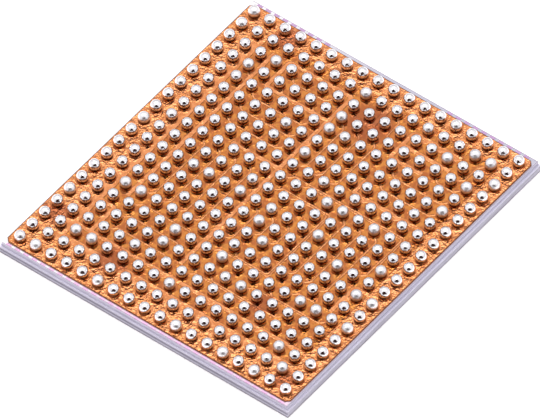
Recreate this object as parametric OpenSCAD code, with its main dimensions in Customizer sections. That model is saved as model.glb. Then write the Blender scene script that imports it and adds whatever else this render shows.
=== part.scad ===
// Wafer-level ball grid array chip: a bare silicon die with copper redistribution
// runs between two polymer films, and a solder ball at every place of a square grid.
// It lies on its back face with the balls up. All sizes are in millimetres.
// X runs along a row of balls, row A lies along the +Y edge, and the origin is at the
// middle of the back face.

/* [Ball grid] */
// Distance between neighbouring balls, along a row and from row to row
pitch = 0.4; // [0.37:0.01:0.5]
// Number of balls in a row
columns = 18; // [18:1:22]
// Diameter of a solder ball
ball_d = 0.25; // [0.23:0.01:0.28]

/* [Pads] */
// Diameter of the opening in the upper film at each ball
opening_d = 0.16; // [0.12:0.01:0.17]
// How far the pad laps onto the film round its opening
pad_lap = 0.02; // [0.01:0.005:0.025]
// How far the copper land reaches past the opening
land_lap = 0.05; // [0.03:0.005:0.055]
// Thickness of the pad's rim on the film
pad_rim_t = 0.004; // [0.002:0.001:0.01]
// Diameter of the contact from a land down to the circuit layer
contact_d = 0.06; // [0.03:0.01:0.1]

/* [Films] */
// Film beyond the outer ball centres, at the left and right
film_margin_x = 0.23; // [0.19:0.005:0.3]
// Film beyond the outer ball centres, at the front and back
film_margin_y = 0.215; // [0.19:0.005:0.3]
// Corner cut off the films
film_corner = 0.09; // [0.03:0.01:0.1]
// Thickness of the lower film
lower_film_t = 0.008; // [0.005:0.001:0.012]
// Thickness of the upper film, over the lower film and over copper
upper_film_t = 0.01; // [0.006:0.001:0.015]
// Upper film at the side of a copper edge
side_cover = 0.005; // [0.003:0.001:0.008]

/* [Copper] */
// Thickness of the redistribution copper
copper_t = 0.009; // [0.006:0.001:0.014]
// Gap from a land to the supply runs and the ground plane beside it
land_gap = 0.025; // [0.02:0.001:0.035]
// Width of a signal run
signal_w = 0.025; // [0.015:0.005:0.03]
// Gap between the two runs of a pair
pair_gap = 0.022; // [0.018:0.001:0.03]
// Width of the link from a land to a supply or ground run
link_w = 0.07; // [0.04:0.01:0.08]
// Ground plane kept back from the edge of the film
plane_inset = 0.02; // [0.01:0.005:0.03]
// Middle line radius of a bend in a run
bend_r = 0.06; // [0.05:0.01:0.1]

/* [Die] */
// Thickness of the coating on the back
coating_t = 0.025; // [0.015:0.005:0.04]
// Height of the full-width lower part of the silicon
lower_die_t = 0.145; // [0.1:0.005:0.4]
// Height of the narrower silicon above the saw step
upper_die_t = 0.102; // [0.06:0.002:0.2]
// Thickness of the circuit layer
circuit_t = 0.008; // [0.005:0.001:0.012]
// Width of the saw step on every side
step_w = 0.036; // [0.02:0.002:0.06]
// Saw street left beside the film at the front, the -Y side
street_front = 0.075; // [0.06:0.005:0.15]
// Saw street left beside the film at the back, the +Y side
street_back = 0.085; // [0.08:0.005:0.15]
// Saw street left beside the film at the left, the -X side
street_left = 0.03; // [0.02:0.002:0.08]
// Saw street left beside the film at the right, the +X side
street_right = 0.034; // [0.02:0.002:0.08]

/* [Street marks] */
// Length of a metal mark in the saw street
mark_l = 0.13; // [0.08:0.01:0.16]
// Distance from one mark to the next
mark_pitch = 0.218; // [0.18:0.002:0.3]
// Width of a metal mark
mark_w = 0.05; // [0.03:0.005:0.07]
// Thickness of a metal mark
mark_t = 0.003; // [0.002:0.001:0.005]
// Place along the rows where the marks of the back street break off
marks_stop = 4.6; // [3:0.1:7]
// Place along the rows where the marks of the back street go on
marks_resume = 11.6; // [10:0.1:14]

/* [Hidden] */
$fn = 48;
// Largest angle of one straight step of a bend
bend_step = 30;
ROW_LETTERS = ["a", "b", "c", "d", "e", "f", "g", "h", "j", "k",
               "l", "m", "n", "p", "r", "t", "u", "v", "w", "y"];

rows = len(ROW_LETTERS);
pad_d = opening_d + 2 * pad_lap;
land_d = opening_d + 2 * land_lap;
supply_w = pitch - land_d - 2 * land_gap;
lane = (signal_w + pair_gap) / 2;

film_x = (columns - 1) * pitch + 2 * film_margin_x;
film_y = (rows - 1) * pitch + 2 * film_margin_y;
upper_x = film_x + street_left + street_right;
upper_y = film_y + street_front + street_back;
die_x = upper_x + 2 * step_w;
die_y = upper_y + 2 * step_w;
// The die is centred on the origin, so uneven streets shift the films and the grid
grid_at = [(street_left - street_right) / 2, (street_front - street_back) / 2];

step_z = coating_t + lower_die_t;
circuit_z = step_z + upper_die_t;
face_z = circuit_z + circuit_t;
copper_z = face_z + lower_film_t;
ridge_z = copper_z + copper_t + upper_film_t;
seat_z = ridge_z + pad_rim_t;
ball_rise = sqrt(pow(ball_d / 2, 2) - pow(pad_d / 2, 2));

// Rings of balls that the ground plane takes in on each side
plane_left = 2;
plane_right = 1;
plane_back = 1;
plane_front = 2;

// A place is [column, row], counted from 0 at the left end of row A. Runs follow the
// channels midway between balls: [2.5, 1.5] is the crossing right of column 2 and
// before row 1. A run or link that ends at a whole place ends in the land there.
last_channel = columns - 1.5;

// Wide runs that join the ground plane
GROUND_RUNS = [
    [[1.5, 16.5], [last_channel, 16.5]],
    [[11.5, 5.5], [11.5, 6.5], [last_channel, 6.5]],
    [[9.5, 0.5], [9.5, 2.5], [8.5, 2.5]],
    [[last_channel, 11.5], [15.5, 11.5], [15.5, 13.5]],
    [[1.5, 14.5], [2.5, 14.5], [2.5, 16.5]]
];
GROUND_LINKS = concat(
    [for (c = [4:3:15]) [[c, 17], [c + 0.5, 16.5]]],
    [for (c = [12:2:16]) [[c, 7], [c + 0.5, 6.5]]],
    [[[9, 1], [9.5, 1.5]], [[2, 15], [2.5, 15.5]], [[16, 12], [15.5, 12.5]]]
);

// Wide runs of the supplies, which are islands inside the ground plane
SUPPLY_RUNS = [
    [[2.5, 1.5], [2.5, 13.5]],
    [[3.5, 3.5], [3.5, 1.5], [7.5, 1.5], [7.5, 15.5]],
    [[3.5, 3.5], [7.5, 3.5]],
    [[4.5, 7.5], [7.5, 7.5]],
    [[14.5, 1.5], [11.5, 1.5], [11.5, 3.5], [13.5, 3.5]],
    [[11.5, 2.5], [14.5, 2.5]]
];
SUPPLY_LINKS = concat(
    [for (r = [3:3:12]) [[2, r], [2.5, r + 0.5]]],
    [for (r = [9:3:12]) [[7, r], [7.5, r + 0.5]]],
    [for (r = [5:7:12]) [[8, r], [7.5, r + 0.5]]],
    [for (c = [4:2:6]) [[c, 3], [c + 0.5, 3.5]]],
    [for (c = [12:14]) [[c, 2], [c + 0.5, 1.5]]]
);

// A signal is [side, places]. Its side is 0 in the middle of the channel, and 1 or -1
// for the left or right run of a pair, seen along the run.
SIGNALS = concat(
    // along the channels in front of rows E to G, at the left
    [for (r = [4:6]) [0, [[3, r], [3.5, r + 0.5], [6.5, r + 0.5], [7, r]]]],
    // down the channels right of columns 4 to 7
    [for (c = [3:6]) [0, [[c, 8], [c + 0.5, 8.5], [c + 0.5, 12.5], [c, 13]]]],
    // along the channels behind rows P to T
    [for (r = [14:16]) [0, [[3, r], [3.5, r - 0.5], [6.5, r - 0.5], [7, r]]]],
    // down the channels right of columns 9 to 11
    [for (c = [8:10]) [0, [[c, 3], [c + 0.5, 3.5], [c + 0.5, 6.5], [c, 7]]]],
    // along the channels in front of rows E and F, at the right
    [for (r = [4:5]) [0, [[12, r], [12.5, r + 0.5], [15.5, r + 0.5], [16, r]]]],
    // down the channels right of columns 13 to 15
    [for (c = [12:14]) [0, [[c, 8], [c + 0.5, 8.5], [c + 0.5, 12.5], [c, 13]]]],
    // short signals inside the long pair
    [for (c = [9:10]) [0, [[c, 10], [c + 0.5, 10.5], [c + 0.5, 11.5], [c, 12]]]],
    [
        [0, [[4, 2], [4.5, 2.5], [6.5, 2.5], [7, 2]]],
        [0, [[10, 1], [10.5, 1.5], [10.5, 2.5], [11, 3]]],
        [0, [[14, 3], [14.5, 3.5], [15.5, 3.5], [16, 3]]],
        [0, [[15, 3], [15.5, 2.5], [15.5, 1.5], [16, 1]]],
        [0, [[8, 10], [8.5, 10.5], [8.5, 12.5], [8, 13]]],
        [0, [[13, 14], [13.5, 13.5], [14.5, 13.5], [15, 14]]],
        // pair from rows H and J to the right side
        [1, [[8, 8], [8.5, 7.5], [15.5, 7.5], [15.5, 9.5], [16, 10]]],
        [-1, [[9, 8], [9.5, 7.5], [15.5, 7.5], [15.5, 10.5], [15, 11]]],
        // long pair round the middle of the grid
        [1, [[8, 9], [8.5, 8.5], [11.5, 8.5], [11.5, 13.5], [8.5, 13.5], [8, 14]]],
        [-1, [[9, 9], [9.5, 8.5], [11.5, 8.5], [11.5, 13.5], [9.5, 13.5], [9, 13]]],
        // pair in front of row T
        [1, [[9, 15], [9.5, 15.5], [13.5, 15.5], [14, 15]]],
        [-1, [[8, 16], [8.5, 15.5], [12.5, 15.5], [13, 16]]],
        // pair in front of row R
        [1, [[12, 14], [12.5, 14.5], [15.5, 14.5], [16, 14]]],
        [-1, [[11, 15], [11.5, 14.5], [14.5, 14.5], [15, 15]]]
    ]
);

function is_plane(c, r) =
    c < plane_left || c >= columns - plane_right || r < plane_back || r >= rows - plane_front;
PLACES = [for (c = [0:columns - 1]) for (r = [0:rows - 1]) [c, r]];
PLANE_PLACES = [for (p = PLACES) if (is_plane(p[0], p[1])) p];
// Every third ball of the plane is a ground ball, whose land is part of the plane
TIED = [for (p = PLANE_PLACES) if ((p[0] + p[1]) % 3 == 0) p];
PASSED = [for (p = PLANE_PLACES) if (!among(p, TIED)) p];

function among(p, list) = len([for (q = list) if (q == p) q]) > 0;
function first(list) = list[0];
function last(list) = list[len(list) - 1];
SIGNAL_LANDS = [for (s = SIGNALS) each [first(s[1]), last(s[1])]];
GROUND_LANDS = [for (link = GROUND_LINKS) if (!among(link[0], TIED)) link[0]];
SUPPLY_LANDS = [for (link = SUPPLY_LINKS) link[0]];
ROUTED = concat(SIGNAL_LANDS, GROUND_LANDS, SUPPLY_LANDS, TIED);
FREE_LANDS = [for (p = PLACES) if (!among(p, ROUTED)) p];

// Where a place lies on the die
function place(p) = grid_at + [(p[0] - (columns - 1) / 2) * pitch, ((rows - 1) / 2 - p[1]) * pitch];
function places(list) = [for (p = list) place(p)];

function unit(v) = v / norm(v);
function left_of(v) = [-v[1], v[0]];
function into(pts, i) = unit(i == 0 ? pts[1] - pts[0] : pts[i] - pts[i - 1]);
function out_of(pts, i) = unit(i == len(pts) - 1 ? pts[i] - pts[i - 1] : pts[i + 1] - pts[i]);

// A line at a distance to the left of a run's line, mitred at its bends
function beside(pts, distance) = [
    for (i = [0:len(pts) - 1])
        let (
            before = left_of(into(pts, i)),
            across = unit(before + left_of(out_of(pts, i)))
        ) pts[i] + distance / (across * before) * across
];

// A run's line with each corner turned into an arc of short straight steps
function turned(v, angle) = [v[0] * cos(angle) - v[1] * sin(angle), v[0] * sin(angle) + v[1] * cos(angle)];
function curved(pts) = [
    for (i = [0:len(pts) - 1])
        let (
            before = into(pts, i),
            after = out_of(pts, i),
            turn = atan2(cross(before, after), before * after),
            steps = ceil(abs(turn) / bend_step),
            inward = sign(turn) * left_of(before),
            centre = pts[i] - bend_r * tan(abs(turn) / 2) * before + bend_r * inward
        )
        each abs(turn) < 1
            ? [pts[i]]
            : [for (k = [0:steps]) centre - bend_r * turned(inward, turn * k / steps)]
];

// A run's line with its two ends drawn out
function drawn_out(pts, extra) = [
    for (i = [0:len(pts) - 1])
        pts[i] + (i == 0 ? -extra * out_of(pts, 0) : i == len(pts) - 1 ? extra * into(pts, i) : [0, 0])
];
function reversed(list) = [for (i = [len(list) - 1:-1:0]) list[i]];

// A signal's line: its land, the channel on its side of the middle, and its other land
function signal_line(s) =
    let (p = places(s[1]), n = len(p))
    concat([p[0]], beside([for (i = [1:n - 2]) p[i]], s[0] * lane), [p[n - 1]]);

module run(pts, width, extra) {
    line = drawn_out(pts, extra);
    half = width / 2 + extra;
    polygon(concat(beside(line, -half), reversed(beside(line, half))));
}

module lands(list, extra) {
    for (p = list) translate(place(p)) circle(d = land_d + 2 * extra);
}

module contacts(list) {
    for (p = list)
        translate(concat(place(p), face_z)) cylinder(d = contact_d, h = lower_film_t + copper_t / 2);
}

module film_outline(inset = 0) {
    x = film_x / 2 - inset;
    y = film_y / 2 - inset;
    c = film_corner;
    translate(grid_at)
        polygon([[c - x, -y], [x - c, -y], [x, c - y], [x, y - c],
                 [x - c, y], [c - x, y], [-x, y - c], [-x, c - y]]);
}

// The ground plane: the outer rings of the grid, open round every land that it passes
module ground_plane(extra) {
    low = place([plane_left - 0.5, rows - plane_front - 0.5]) + [1, 1] * (supply_w / 2 + extra);
    high = place([columns - plane_right - 0.5, plane_back - 0.5]) - [1, 1] * (supply_w / 2 + extra);
    difference() {
        film_outline(plane_inset - extra);
        translate(low) square(high - low);
        lands(PASSED, land_gap - extra);
    }
}

// The three kinds of copper seen from above, or with extra > 0 the film's ridges over them
module ground_pattern(extra = 0) {
    ground_plane(extra);
    for (r = GROUND_RUNS) run(curved(places(r)), supply_w, extra);
    for (l = GROUND_LINKS) run(places(l), link_w, extra);
    lands(GROUND_LANDS, extra);
}

module supply_pattern(extra = 0) {
    for (r = SUPPLY_RUNS) run(curved(places(r)), supply_w, extra);
    for (l = SUPPLY_LINKS) run(places(l), link_w, extra);
    lands(SUPPLY_LANDS, extra);
}

module signal_pattern(extra = 0) {
    for (s = SIGNALS) run(curved(signal_line(s)), signal_w, extra);
    lands(SIGNAL_LANDS, extra);
}

module copper_layer(height) {
    translate([0, 0, copper_z]) linear_extrude(height) children();
}

module ground_copper() {
    color("chocolate") {
        copper_layer(copper_t) ground_pattern();
        contacts(concat(GROUND_LANDS, TIED));
    }
}

module supply_copper() {
    color("chocolate") {
        copper_layer(copper_t) supply_pattern();
        contacts(SUPPLY_LANDS);
    }
}

module signal_copper() {
    color("chocolate") {
        copper_layer(copper_t) signal_pattern();
        contacts(SIGNAL_LANDS);
    }
}

module land_copper() {
    color("chocolate") {
        copper_layer(copper_t) lands(FREE_LANDS, 0);
        contacts(FREE_LANDS);
    }
}

// The upper film follows the copper below it, so every run shows as a ridge
module upper_film() {
    color("darkorange")
        difference() {
            union() {
                copper_layer(upper_film_t) film_outline();
                copper_layer(copper_t + upper_film_t) {
                    ground_pattern(side_cover);
                    supply_pattern(side_cover);
                    signal_pattern(side_cover);
                    lands(FREE_LANDS, side_cover);
                }
            }
            copper_layer(copper_t) {
                ground_pattern();
                supply_pattern();
                signal_pattern();
                lands(FREE_LANDS, 0);
            }
            for (p = PLACES)
                translate(concat(place(p), copper_z)) cylinder(d = opening_d, h = 2 * (ridge_z - copper_z));
        }
}

module lower_film() {
    color("goldenrod")
        difference() {
            translate([0, 0, face_z]) linear_extrude(lower_film_t) film_outline();
            for (p = PLACES)
                translate(concat(place(p), face_z - lower_film_t)) cylinder(d = contact_d, h = 3 * lower_film_t);
        }
}

module block(size, z) {
    translate([-size[0] / 2, -size[1] / 2, z]) cube(size);
}

module back_coating() {
    color("dimgray") block([die_x, die_y, coating_t], 0);
}

module silicon_die() {
    color("lightslategray") {
        block([die_x, die_y, lower_die_t], coating_t);
        block([upper_x, upper_y, upper_die_t], step_z);
    }
}

module circuit_layer() {
    color("lightsteelblue") block([upper_x, upper_y, circuit_t], circuit_z);
}

// A row of marks along a street, from one place along the rows to another
module street_marks(from, to, y) {
    x0 = place([from, 0])[0];
    x1 = place([to, 0])[0];
    count = floor((x1 - x0) / mark_pitch);
    for (i = [0:count - 1])
        translate([(x0 + x1) / 2 + (i - (count - 1) / 2) * mark_pitch - mark_l / 2, y - mark_w / 2, face_z])
            cube([mark_l, mark_w, mark_t]);
}

module street_marks_front() {
    color("plum") street_marks(-0.5, columns - 0.5, grid_at[1] - film_y / 2 - street_front / 2);
}

module street_marks_back() {
    y = grid_at[1] + film_y / 2 + street_back / 2;
    color("plum") {
        street_marks(-0.5, marks_stop, y);
        street_marks(marks_resume, columns - 0.5, y);
    }
}

// Each pad fills its opening in the upper film and laps onto the film round it
module ball_pads() {
    color("tan")
        for (p = PLACES)
            translate(concat(place(p), copper_z + copper_t)) {
                cylinder(d = opening_d, h = upper_film_t + pad_rim_t);
                translate([0, 0, upper_film_t]) cylinder(d = pad_d, h = pad_rim_t);
            }
}

// A solder ball is a sphere that ends where it wets the whole pad
module ball() {
    difference() {
        sphere(d = ball_d);
        translate([0, 0, -ball_d - ball_rise]) cube(2 * ball_d, center = true);
    }
}

module ball_row(r) {
    color("silver")
        for (c = [0:columns - 1])
            translate(concat(place([c, r]), seat_z + ball_rise)) ball();
}

back_coating();
silicon_die();
circuit_layer();
street_marks_front();
street_marks_back();
lower_film();
ground_copper();
supply_copper();
signal_copper();
land_copper();
upper_film();
ball_pads();
for (r = [0:rows - 1])
    ball_row(r);
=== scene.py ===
import math

import bpy
from mathutils import Matrix, Vector


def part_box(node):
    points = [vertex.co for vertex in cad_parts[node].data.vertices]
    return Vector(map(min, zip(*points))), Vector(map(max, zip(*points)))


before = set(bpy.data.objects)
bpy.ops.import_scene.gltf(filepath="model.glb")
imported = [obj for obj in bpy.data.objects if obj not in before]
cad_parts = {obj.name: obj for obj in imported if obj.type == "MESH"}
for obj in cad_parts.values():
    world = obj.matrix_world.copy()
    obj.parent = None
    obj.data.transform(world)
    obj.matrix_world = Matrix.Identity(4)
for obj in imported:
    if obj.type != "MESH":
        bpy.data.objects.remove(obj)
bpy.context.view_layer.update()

MM = 0.001

# ---------------------------------------------------------------- places, from the frame

ROWS = sorted(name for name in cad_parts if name.startswith("ball_row_"))
COLUMNS = 18

ROW_LOW, ROW_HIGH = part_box(ROWS[0])
LAST_LOW, LAST_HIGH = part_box(ROWS[-1])
BALL_D = ROW_HIGH.y - ROW_LOW.y
PITCH = (ROW_HIGH.x - ROW_LOW.x - BALL_D) / (COLUMNS - 1)
GRID_X = (ROW_LOW.x + ROW_HIGH.x) / 2
GRID_Y = (LAST_LOW.y + ROW_HIGH.y) / 2

FILM_LOW, FILM_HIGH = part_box("upper_film")
FILM_TOP = FILM_HIGH.z
COPPER_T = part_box("supply_copper")[1].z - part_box("lower_film")[1].z
FILM_GROUND = FILM_TOP - COPPER_T
DIE_LOW, DIE_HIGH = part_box("silicon_die")
# The ledge that the first, wider saw cut left round the die
LEDGE_Z = DIE_LOW.z + 0.145 * MM
BALL_MIDDLE_Z = ROW_HIGH.z - BALL_D / 2

# ---------------------------------------------------------------- camera and light

VIEW_AZIMUTH = 40.106
VIEW_ELEVATION = 48.419
VIEW_ROLL = -2.478
VIEW_DISTANCE = 395 * MM
VIEW_LENS = 1307
SENSOR_WIDTH = 36
# Where the camera looks, from a point inside the die: along its own right and up
LOOK_AT = Vector((GRID_X + 0.003 * MM, GRID_Y - 0.0025 * MM, 0.25 * MM))
LOOK_RIGHT = 0
LOOK_UP = -0.1203 * MM

FLOOR_SIZE = 900 * MM
BOX_HEIGHT = 80 * MM
BOX_SIZE = 70 * MM
BOX_STRENGTH = 1.5
# The dark card round the camera's line of sight, as angles from that line
CARD_DISTANCE = 60 * MM
CARD_UP = 15
CARD_DOWN = 41
CARD_TOP_SIDE = 10
CARD_BOTTOM_SIDE = 50


def colour(red, green, blue):
    """A colour given as it shows on screen, 0 to 255, as a shader takes it."""
    def linear(part):
        share = part / 255
        return share / 12.92 if share <= 0.04045 else ((share + 0.055) / 1.055) ** 2.4

    return (linear(red), linear(green), linear(blue), 1)


# ---------------------------------------------------------------- shader maths


class Value:
    """An output in a node tree. Arithmetic on it adds Math nodes."""

    def __init__(self, tree, socket):
        self.tree = tree
        self.socket = socket

    def math(self, operation, *operands):
        return self.tree.node("ShaderNodeMath", {"operation": operation}, dict(enumerate(operands)))

    def __add__(self, other):
        return self.math("ADD", self, other)

    def __sub__(self, other):
        return self.math("SUBTRACT", self, other)

    def __rsub__(self, other):
        return self.math("SUBTRACT", other, self)

    def __mul__(self, other):
        return self.math("MULTIPLY", self, other)

    def __truediv__(self, other):
        return self.math("DIVIDE", self, other)

    def __gt__(self, other):
        return self.math("GREATER_THAN", self, other)

    def __lt__(self, other):
        return self.math("LESS_THAN", self, other)

    __radd__ = __add__
    __rmul__ = __mul__

    def least(self, other):
        return self.math("MINIMUM", self, other)

    def most(self, other):
        return self.math("MAXIMUM", self, other)

    def size(self):
        return self.math("ABSOLUTE", self)

    def whole(self):
        return self.math("FLOOR", self)

    def part(self):
        return self.math("FRACT", self)

    def power(self, exponent):
        return self.math("POWER", self, exponent)


class Tree:
    """The node tree of a material or the world, under construction."""

    def __init__(self, tree):
        self.tree = tree

    def node(self, kind, settings, inputs, output=0):
        """Adds a node: its settings first, then the values or links of its inputs."""
        added = self.tree.nodes.new(kind)
        for key, value in settings.items():
            setattr(added, key, value)
        for key, value in inputs.items():
            self.feed(added.inputs[key], value)
        return Value(self, added.outputs[output])

    def feed(self, socket, value):
        if isinstance(value, Value):
            self.tree.links.new(value.socket, socket)
        else:
            socket.default_value = value

    def place(self):
        """The place on the part, in millimetres."""
        metres = self.node("ShaderNodeTexCoord", {}, {}, "Object")
        return self.node("ShaderNodeVectorMath", {"operation": "SCALE"}, {0: metres, "Scale": 1 / MM})

    def axes(self, vector):
        return [self.node("ShaderNodeSeparateXYZ", {}, {0: vector}, axis) for axis in range(3)]

    def vector(self, x, y, z):
        return self.node("ShaderNodeCombineXYZ", {}, {0: x, 1: y, 2: z})

    def mix(self, share, first, second):
        """From the first colour at 0 to the second at 1."""
        return self.node("ShaderNodeMix", {"data_type": "RGBA"}, {0: share, 6: first, 7: second}, 2)

    def turn(self, share, first, second):
        """A direction, from the first at 0 to the second at 1."""
        mixed = self.node("ShaderNodeMix", {"data_type": "VECTOR"}, {0: share, 4: first, 5: second}, 1)
        return self.node("ShaderNodeVectorMath", {"operation": "NORMALIZE"}, {0: mixed})

    def noise(self, vector, scale, detail=2, roughness=0.5):
        return self.node(
            "ShaderNodeTexNoise", {}, {"Vector": vector, "Scale": scale, "Detail": detail, "Roughness": roughness}
        )

    def between(self, value, low, high, to_low=0, to_high=1):
        """The value, smoothly from to_low at low to to_high at high."""
        return self.node(
            "ShaderNodeMapRange",
            {"interpolation_type": "SMOOTHSTEP"},
            {0: value, 1: low, 2: high, 3: to_low, 4: to_high},
        )

    def bump(self, height, distance, strength=1, normal=None):
        inputs = {"Height": height, "Distance": distance, "Strength": strength}
        if normal:
            inputs["Normal"] = normal
        return self.node("ShaderNodeBump", {}, inputs)


class Finish(Tree):
    """A material with its one shader."""

    def __init__(self, name):
        self.material = bpy.data.materials.new(name)
        self.material.use_nodes = True
        super().__init__(self.material.node_tree)
        self.shader = self.tree.nodes["Principled BSDF"]

    def surface(self, **sockets):
        """Sets the shader's sockets, named in small letters with _ for a space."""
        for name, value in sockets.items():
            title = " ".join(word if word == "IOR" else word.capitalize() for word in name.split("_"))
            self.feed(self.shader.inputs[title], value)
        return self.material


# ---------------------------------------------------------------- finishes


def column_at(x):
    """How many columns in from the left edge of the grid's first cell."""
    return (x - GRID_X / MM) / (PITCH / MM) + COLUMNS / 2


def row_at(y):
    """How many rows up from the front edge of the grid's last cell."""
    return (y - GRID_Y / MM) / (PITCH / MM) + len(ROWS) / 2


def solder():
    """Reflowed solder: bright, some balls hazy, each with its own faint dents."""
    finish = Finish("solder")
    place = finish.place()
    x, y, z = finish.axes(place)
    ball = finish.vector(column_at(x).whole(), row_at(y).whole(), 0)
    own = finish.node("ShaderNodeTexWhiteNoise", {"noise_dimensions": "2D"}, {"Vector": ball})
    spots = finish.between(finish.noise(place, 30, 1), 0.58, 0.7)
    hazy = finish.between(own, 0.7, 0.95)
    # Painted shade on the underside, down where the ball faces the film
    height = (z - BALL_MIDDLE_Z / MM) / (BALL_D / 2 / MM)
    under = finish.between(height, 0.08, -0.2)
    bright = finish.mix(spots * 0.5, colour(240, 240, 242), colour(170, 168, 176))
    dents = finish.noise(place, 16, 2)
    grain = finish.noise(place, 60, 2)
    skin = finish.bump(grain, 0.0004 * MM, 1, finish.bump(dents, 0.006 * MM))
    return finish.surface(
        base_color=finish.mix(under, bright, colour(158, 146, 138)),
        metallic=1,
        roughness=hazy * 0.3 + spots * 0.12 + 0.05,
        normal=skin,
    )


def pad_metal():
    """Plated pads under the balls."""
    finish = Finish("pad_metal")
    place = finish.place()
    tone = finish.noise(place, 25)
    return finish.surface(
        base_color=finish.mix(tone, colour(176, 138, 96), colour(214, 190, 150)),
        metallic=1,
        roughness=tone * 0.2 + 0.2,
        normal=finish.bump(tone, 0.001 * MM),
    )


# Where the film has a red-brown stain: column, row and reach, in places of the grid
STAINS = [(2.5, 0.3, 0.9), (9.3, 2.4, 1.5), (0.3, 16.6, 0.9), (16.4, 18.4, 0.8), (4.6, 17.4, 1.1), (12.4, 15.2, 0.8)]


def upper_film():
    """Clear orange film over copper: bright raised runs, low ochre ground, a pebbled border."""
    finish = Finish("upper_film")
    place = finish.place()
    x, y, z = finish.axes(place)
    raised = finish.between(z, FILM_GROUND / MM + 0.001, FILM_TOP / MM - 0.001)
    # Distance in from the border of the film
    middle_x = (FILM_LOW.x + FILM_HIGH.x) / 2 / MM
    middle_y = (FILM_LOW.y + FILM_HIGH.y) / 2 / MM
    half_x = (FILM_HIGH.x - FILM_LOW.x) / 2 / MM
    half_y = (FILM_HIGH.y - FILM_LOW.y) / 2 / MM
    inset = (half_x - (x - middle_x).size()).least(half_y - (y - middle_y).size())
    border = finish.between(inset, 0.55, 0.8, 1, 0)
    tone = finish.noise(place, 7, 3)
    pebbles = finish.noise(place, 11, 2, 0.6)
    stain = 0
    for column, row, radius in STAINS:
        across = column_at(x) - (column + 0.5)
        down = row_at(y) - (len(ROWS) - row - 0.5)
        reach = (across.power(2) + down.power(2)).power(0.5) + tone * 1.2 - 0.6
        stain = finish.between(reach, radius, radius * 0.6).most(stain)
    # Distance from the nearest ball's middle
    off_column = (column_at(x).part() - 0.5) * (PITCH / MM)
    off_row = (row_at(y).part() - 0.5) * (PITCH / MM)
    from_ball = (off_column.power(2) + off_row.power(2)).power(0.5)
    clear = finish.between(from_ball, 0.15, 0.16)

    # The soft edges of the runs: painted shade low at their base, a painted highlight along their top edge
    rounded = finish.node("ShaderNodeBevel", {"samples": 8}, {"Radius": 0.02 * MM})
    upright = finish.axes(rounded)[2]
    painted_foot_shade = finish.between(upright, 0.998, 0.93) * clear
    painted_shoulder_highlight = finish.between(upright, 0.98, 0.84) * clear
    flat = finish.node("ShaderNodeNewGeometry", {}, {}, "Normal")

    low = finish.mix(finish.between(tone, 0.4, 0.6), colour(220, 142, 70), colour(192, 112, 60))
    high = finish.mix(finish.between(tone, 0.35, 0.65), colour(222, 140, 84), colour(244, 164, 108))
    # Painted shade and painted highlight at the runs' edges, left off near the balls
    low = finish.mix(painted_foot_shade * 0.85, low, colour(92, 46, 22))
    high = finish.mix(painted_shoulder_highlight * 0.8, high, colour(254, 190, 130))
    colours = finish.mix(stain * 0.75, finish.mix(raised, low, high), colour(166, 88, 54))
    # Painted shade along the film's outer edge, darkest within 0.01 mm of it
    colours = finish.mix(finish.between(inset, 0.032, 0.01) * 0.7, colours, colour(110, 62, 38))
    # Painted shade round each ball on the film, full within 0.12 mm of its middle and gone by 0.14 mm
    colours = finish.mix(finish.between(from_ball, 0.14, 0.12), colours, colour(180, 106, 64))

    soft = finish.turn(clear, flat, rounded)
    waves = finish.bump(finish.noise(place, 6, 2), 0.05 * MM, clear * 0.42, soft)
    rough = finish.bump(pebbles, 0.06 * MM, border * 0.9 * clear, waves)
    return finish.surface(
        base_color=colours,
        metallic=1,
        roughness=0.06,
        coat_weight=0.2,
        coat_roughness=0.04,
        normal=rough,
    )


def lower_film():
    finish = Finish("lower_film")
    place = finish.place()
    tone = finish.noise(place, 12)
    return finish.surface(
        base_color=finish.mix(tone, colour(120, 82, 66), colour(150, 108, 88)),
        roughness=tone * 0.2 + 0.2,
        normal=finish.bump(tone, 0.001 * MM),
    )


def copper():
    finish = Finish("copper")
    place = finish.place()
    tone = finish.noise(place, 18)
    return finish.surface(
        base_color=finish.mix(tone, colour(214, 128, 84), colour(236, 154, 106)),
        metallic=1,
        roughness=tone * 0.15 + 0.2,
        normal=finish.bump(tone, 0.001 * MM),
    )


def silicon():
    """Sawn silicon: satin lavender grey, with fine lines along the sawn walls and a painted highlight on the ledge.
    """
    finish = Finish("silicon")
    place = finish.place()
    x, y, z = finish.axes(place)
    lines = finish.noise(finish.vector(x * 0.6, y * 0.6, z * 60), 1, 3, 0.6)
    blotches = finish.noise(finish.vector(x, y, z * 3), 4, 2)
    tone = finish.between(lines, 0.35, 0.65) * 0.6 + blotches * 0.4
    # Painted highlight: the ledge, and the lowest few microns of the wall above it, made pale and less metallic
    ledge = finish.between((z - LEDGE_Z / MM).size(), 0.007, 0.003)
    lower = finish.between(z, LEDGE_Z / MM + 0.001, LEDGE_Z / MM - 0.004)
    # A dark band along the front wall, about 0.062 mm below the ledge
    front = finish.between(y, DIE_LOW.y / MM + 0.003, DIE_LOW.y / MM + 0.001)
    front_dark_band = finish.between((z - (LEDGE_Z / MM - 0.062)).size(), 0.03, 0.008) * front
    upper_wall = finish.mix(tone, colour(158, 155, 172), colour(206, 203, 217))
    lower_wall = finish.mix(tone, colour(148, 144, 158), colour(188, 185, 199))
    wall = finish.mix(lower, upper_wall, lower_wall)
    wall = finish.mix(front_dark_band * 0.8, wall, colour(92, 84, 104))
    return finish.surface(
        base_color=finish.mix(ledge, wall, colour(226, 224, 240)),
        metallic=0.7 - ledge * 0.6,
        roughness=blotches * 0.2 + 0.28,
        normal=finish.bump(lines, 0.003 * MM),
    )


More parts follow.
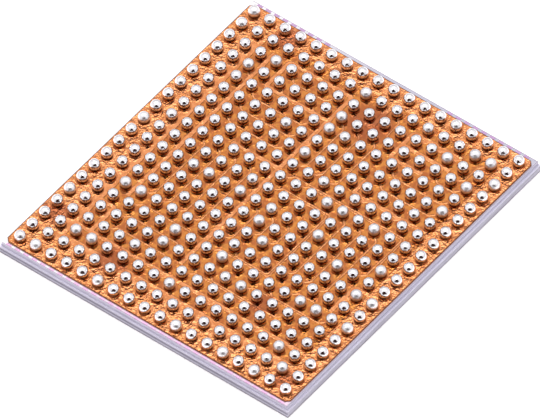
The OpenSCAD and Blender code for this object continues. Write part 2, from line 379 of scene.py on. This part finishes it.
def circuit():
    """The die's face in the saw streets: smooth, bright, darker at the back and along its rim."""
    finish = Finish("circuit")
    place = finish.place()
    x, y, z = finish.axes(place)
    tone = finish.noise(place, 5)
    back = finish.between(y, -1, FILM_HIGH.y / MM)
    left = finish.between(x, 0, FILM_LOW.x / MM)
    right = finish.between(x, FILM_HIGH.x / MM, FILM_HIGH.x / MM + 0.01)
    face = finish.mix(back, colour(236, 214, 232), colour(198, 198, 212))
    face = finish.mix(right, face, colour(206, 204, 218))
    face = finish.mix(left, face, colour(246, 246, 250))
    low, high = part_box("circuit_layer")
    rim = (high.x / MM - x).least(y - low.y / MM).least(high.y / MM - y)
    face = finish.mix(finish.between(rim, 0.024, 0.004) * 0.7, face, colour(150, 138, 160))
    return finish.surface(
        base_color=face,
        metallic=0.8,
        roughness=tone * 0.1 + 0.12,
        normal=finish.bump(finish.noise(place, 30), 0.0006 * MM),
    )


def street_metal():
    """Test metal in the saw streets, pink and violet through its thin clear cover."""
    finish = Finish("street_metal")
    place = finish.place()
    x, y, z = finish.axes(place)
    back = finish.between(y, -1, 1)
    tone = finish.noise(place, 9)
    front_colour = finish.mix(tone, colour(226, 176, 214), colour(240, 204, 236))
    back_colour = finish.mix(tone, colour(188, 150, 196), colour(214, 184, 220))
    return finish.surface(
        base_color=finish.mix(back, front_colour, back_colour),
        metallic=0.9,
        roughness=tone * 0.1 + 0.2,
        normal=finish.bump(tone, 0.0006 * MM),
    )


def back_coating():
    finish = Finish("back_coating")
    place = finish.place()
    grain = finish.noise(place, 35, 3)
    return finish.surface(
        base_color=finish.mix(grain, colour(84, 78, 92), colour(124, 118, 132)),
        roughness=grain * 0.2 + 0.45,
        normal=finish.bump(grain, 0.002 * MM),
    )


FINISHES = {
    solder: ROWS,
    pad_metal: ["ball_pads"],
    upper_film: ["upper_film"],
    lower_film: ["lower_film"],
    copper: ["ground_copper", "supply_copper", "signal_copper", "land_copper"],
    silicon: ["silicon_die"],
    circuit: ["circuit_layer"],
    street_metal: ["street_marks_front", "street_marks_back"],
    back_coating: ["back_coating"],
}


def put_on_finishes():
    for make, nodes in FINISHES.items():
        material = make()
        for name in nodes:
            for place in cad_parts[name].material_slots:
                place.material = material


# ---------------------------------------------------------------- stage


def plain(name, base, strength):
    """A plain material for the floor and the cards: matt, or glowing where strength is above 0."""
    finish = Finish(name)
    return finish.surface(
        base_color=base,
        roughness=1,
        specular_IOR_level=0,
        emission_color=base,
        emission_strength=strength,
    )


def lay_floor():
    bpy.ops.mesh.primitive_plane_add(size=FLOOR_SIZE, location=(0, 0, 0))
    floor = bpy.context.object
    floor.name = "floor"
    floor.data.materials.append(plain("floor", colour(250, 250, 250), 0.3))


def camera_axes():
    """The camera's right, its up, and the way back from the part to the camera."""
    azimuth, elevation = math.radians(VIEW_AZIMUTH), math.radians(VIEW_ELEVATION)
    level = math.cos(elevation)
    back = Vector((math.sin(azimuth) * level, -math.cos(azimuth) * level, math.sin(elevation)))
    turn = Matrix.Rotation(math.radians(VIEW_ROLL), 3, back)
    right = turn @ Vector((math.cos(azimuth), math.sin(azimuth), 0))
    return right, back.cross(right), back


def facing(point, right, up, back):
    """The matrix of a camera or card at a point, looking down the way back."""
    return Matrix.Translation(point) @ Matrix((right, up, back)).transposed().to_4x4()


def hold_card():
    """A dark card across the camera's line of sight, narrow at its top, which the balls mirror."""
    right, up, back = camera_axes()
    top, bottom, top_side, bottom_side = (
        CARD_DISTANCE * math.tan(math.radians(angle))
        for angle in (CARD_UP, -CARD_DOWN, CARD_TOP_SIDE, CARD_BOTTOM_SIDE)
    )
    bpy.ops.mesh.primitive_plane_add(size=2)
    card = bpy.context.object
    card.name = "dark_card"
    for corner in card.data.vertices:
        upper = corner.co.y > 0
        corner.co = (corner.co.x * (top_side if upper else bottom_side), top if upper else bottom, 0)
    card.matrix_world = facing(back * CARD_DISTANCE, right, up, back)
    card.data.materials.append(plain("dark_card", colour(40, 26, 26), 1))
    card.visible_camera = False
    card.visible_shadow = False


def hang_softbox():
    bpy.ops.mesh.primitive_plane_add(size=BOX_SIZE, location=(0, 0, BOX_HEIGHT), rotation=(math.pi, 0, 0))
    box = bpy.context.object
    box.name = "softbox"
    box.data.materials.append(plain("softbox", (1, 1, 1, 1), BOX_STRENGTH))
    box.visible_camera = False
    box.visible_shadow = False


def light_world():
    world = bpy.data.worlds.new("studio")
    bpy.context.scene.world = world
    world.use_nodes = True
    tree = Tree(world.node_tree)
    direction = tree.node("ShaderNodeTexCoord", {}, {}, "Generated")
    x, y, z = tree.axes(direction)
    right = camera_axes()[0]
    aside = (x * right.x + y * right.y).power(2)
    level = tree.between(z, -0.1, 1) * 0.66 + aside * (1 - z) * 0.58
    sky = tree.vector(level + 0.48, level + 0.44, level + 0.46)
    seen = tree.node("ShaderNodeLightPath", {}, {}, "Is Camera Ray")
    background = world.node_tree.nodes["Background"]
    tree.feed(background.inputs["Color"], tree.mix(seen, sky, (1, 1, 1, 1)))
    background.inputs["Strength"].default_value = 1


def set_camera():
    right, up, back = camera_axes()
    target = LOOK_AT + right * LOOK_RIGHT + up * LOOK_UP
    data = bpy.data.cameras.new("camera")
    data.lens = VIEW_LENS
    data.sensor_width = SENSOR_WIDTH
    data.clip_start = VIEW_DISTANCE / 10
    data.clip_end = VIEW_DISTANCE * 10
    camera = bpy.data.objects.new("camera", data)
    bpy.context.scene.collection.objects.link(camera)
    camera.matrix_world = facing(target + back * VIEW_DISTANCE, right, up, back)
    bpy.context.scene.camera = camera


# ---------------------------------------------------------------- the whole scene

bpy.ops.object.select_all(action="DESELECT")
put_on_finishes()
lay_floor()
hold_card()
hang_softbox()
light_world()
set_camera()
bpy.context.scene.view_settings.view_transform = "Standard"
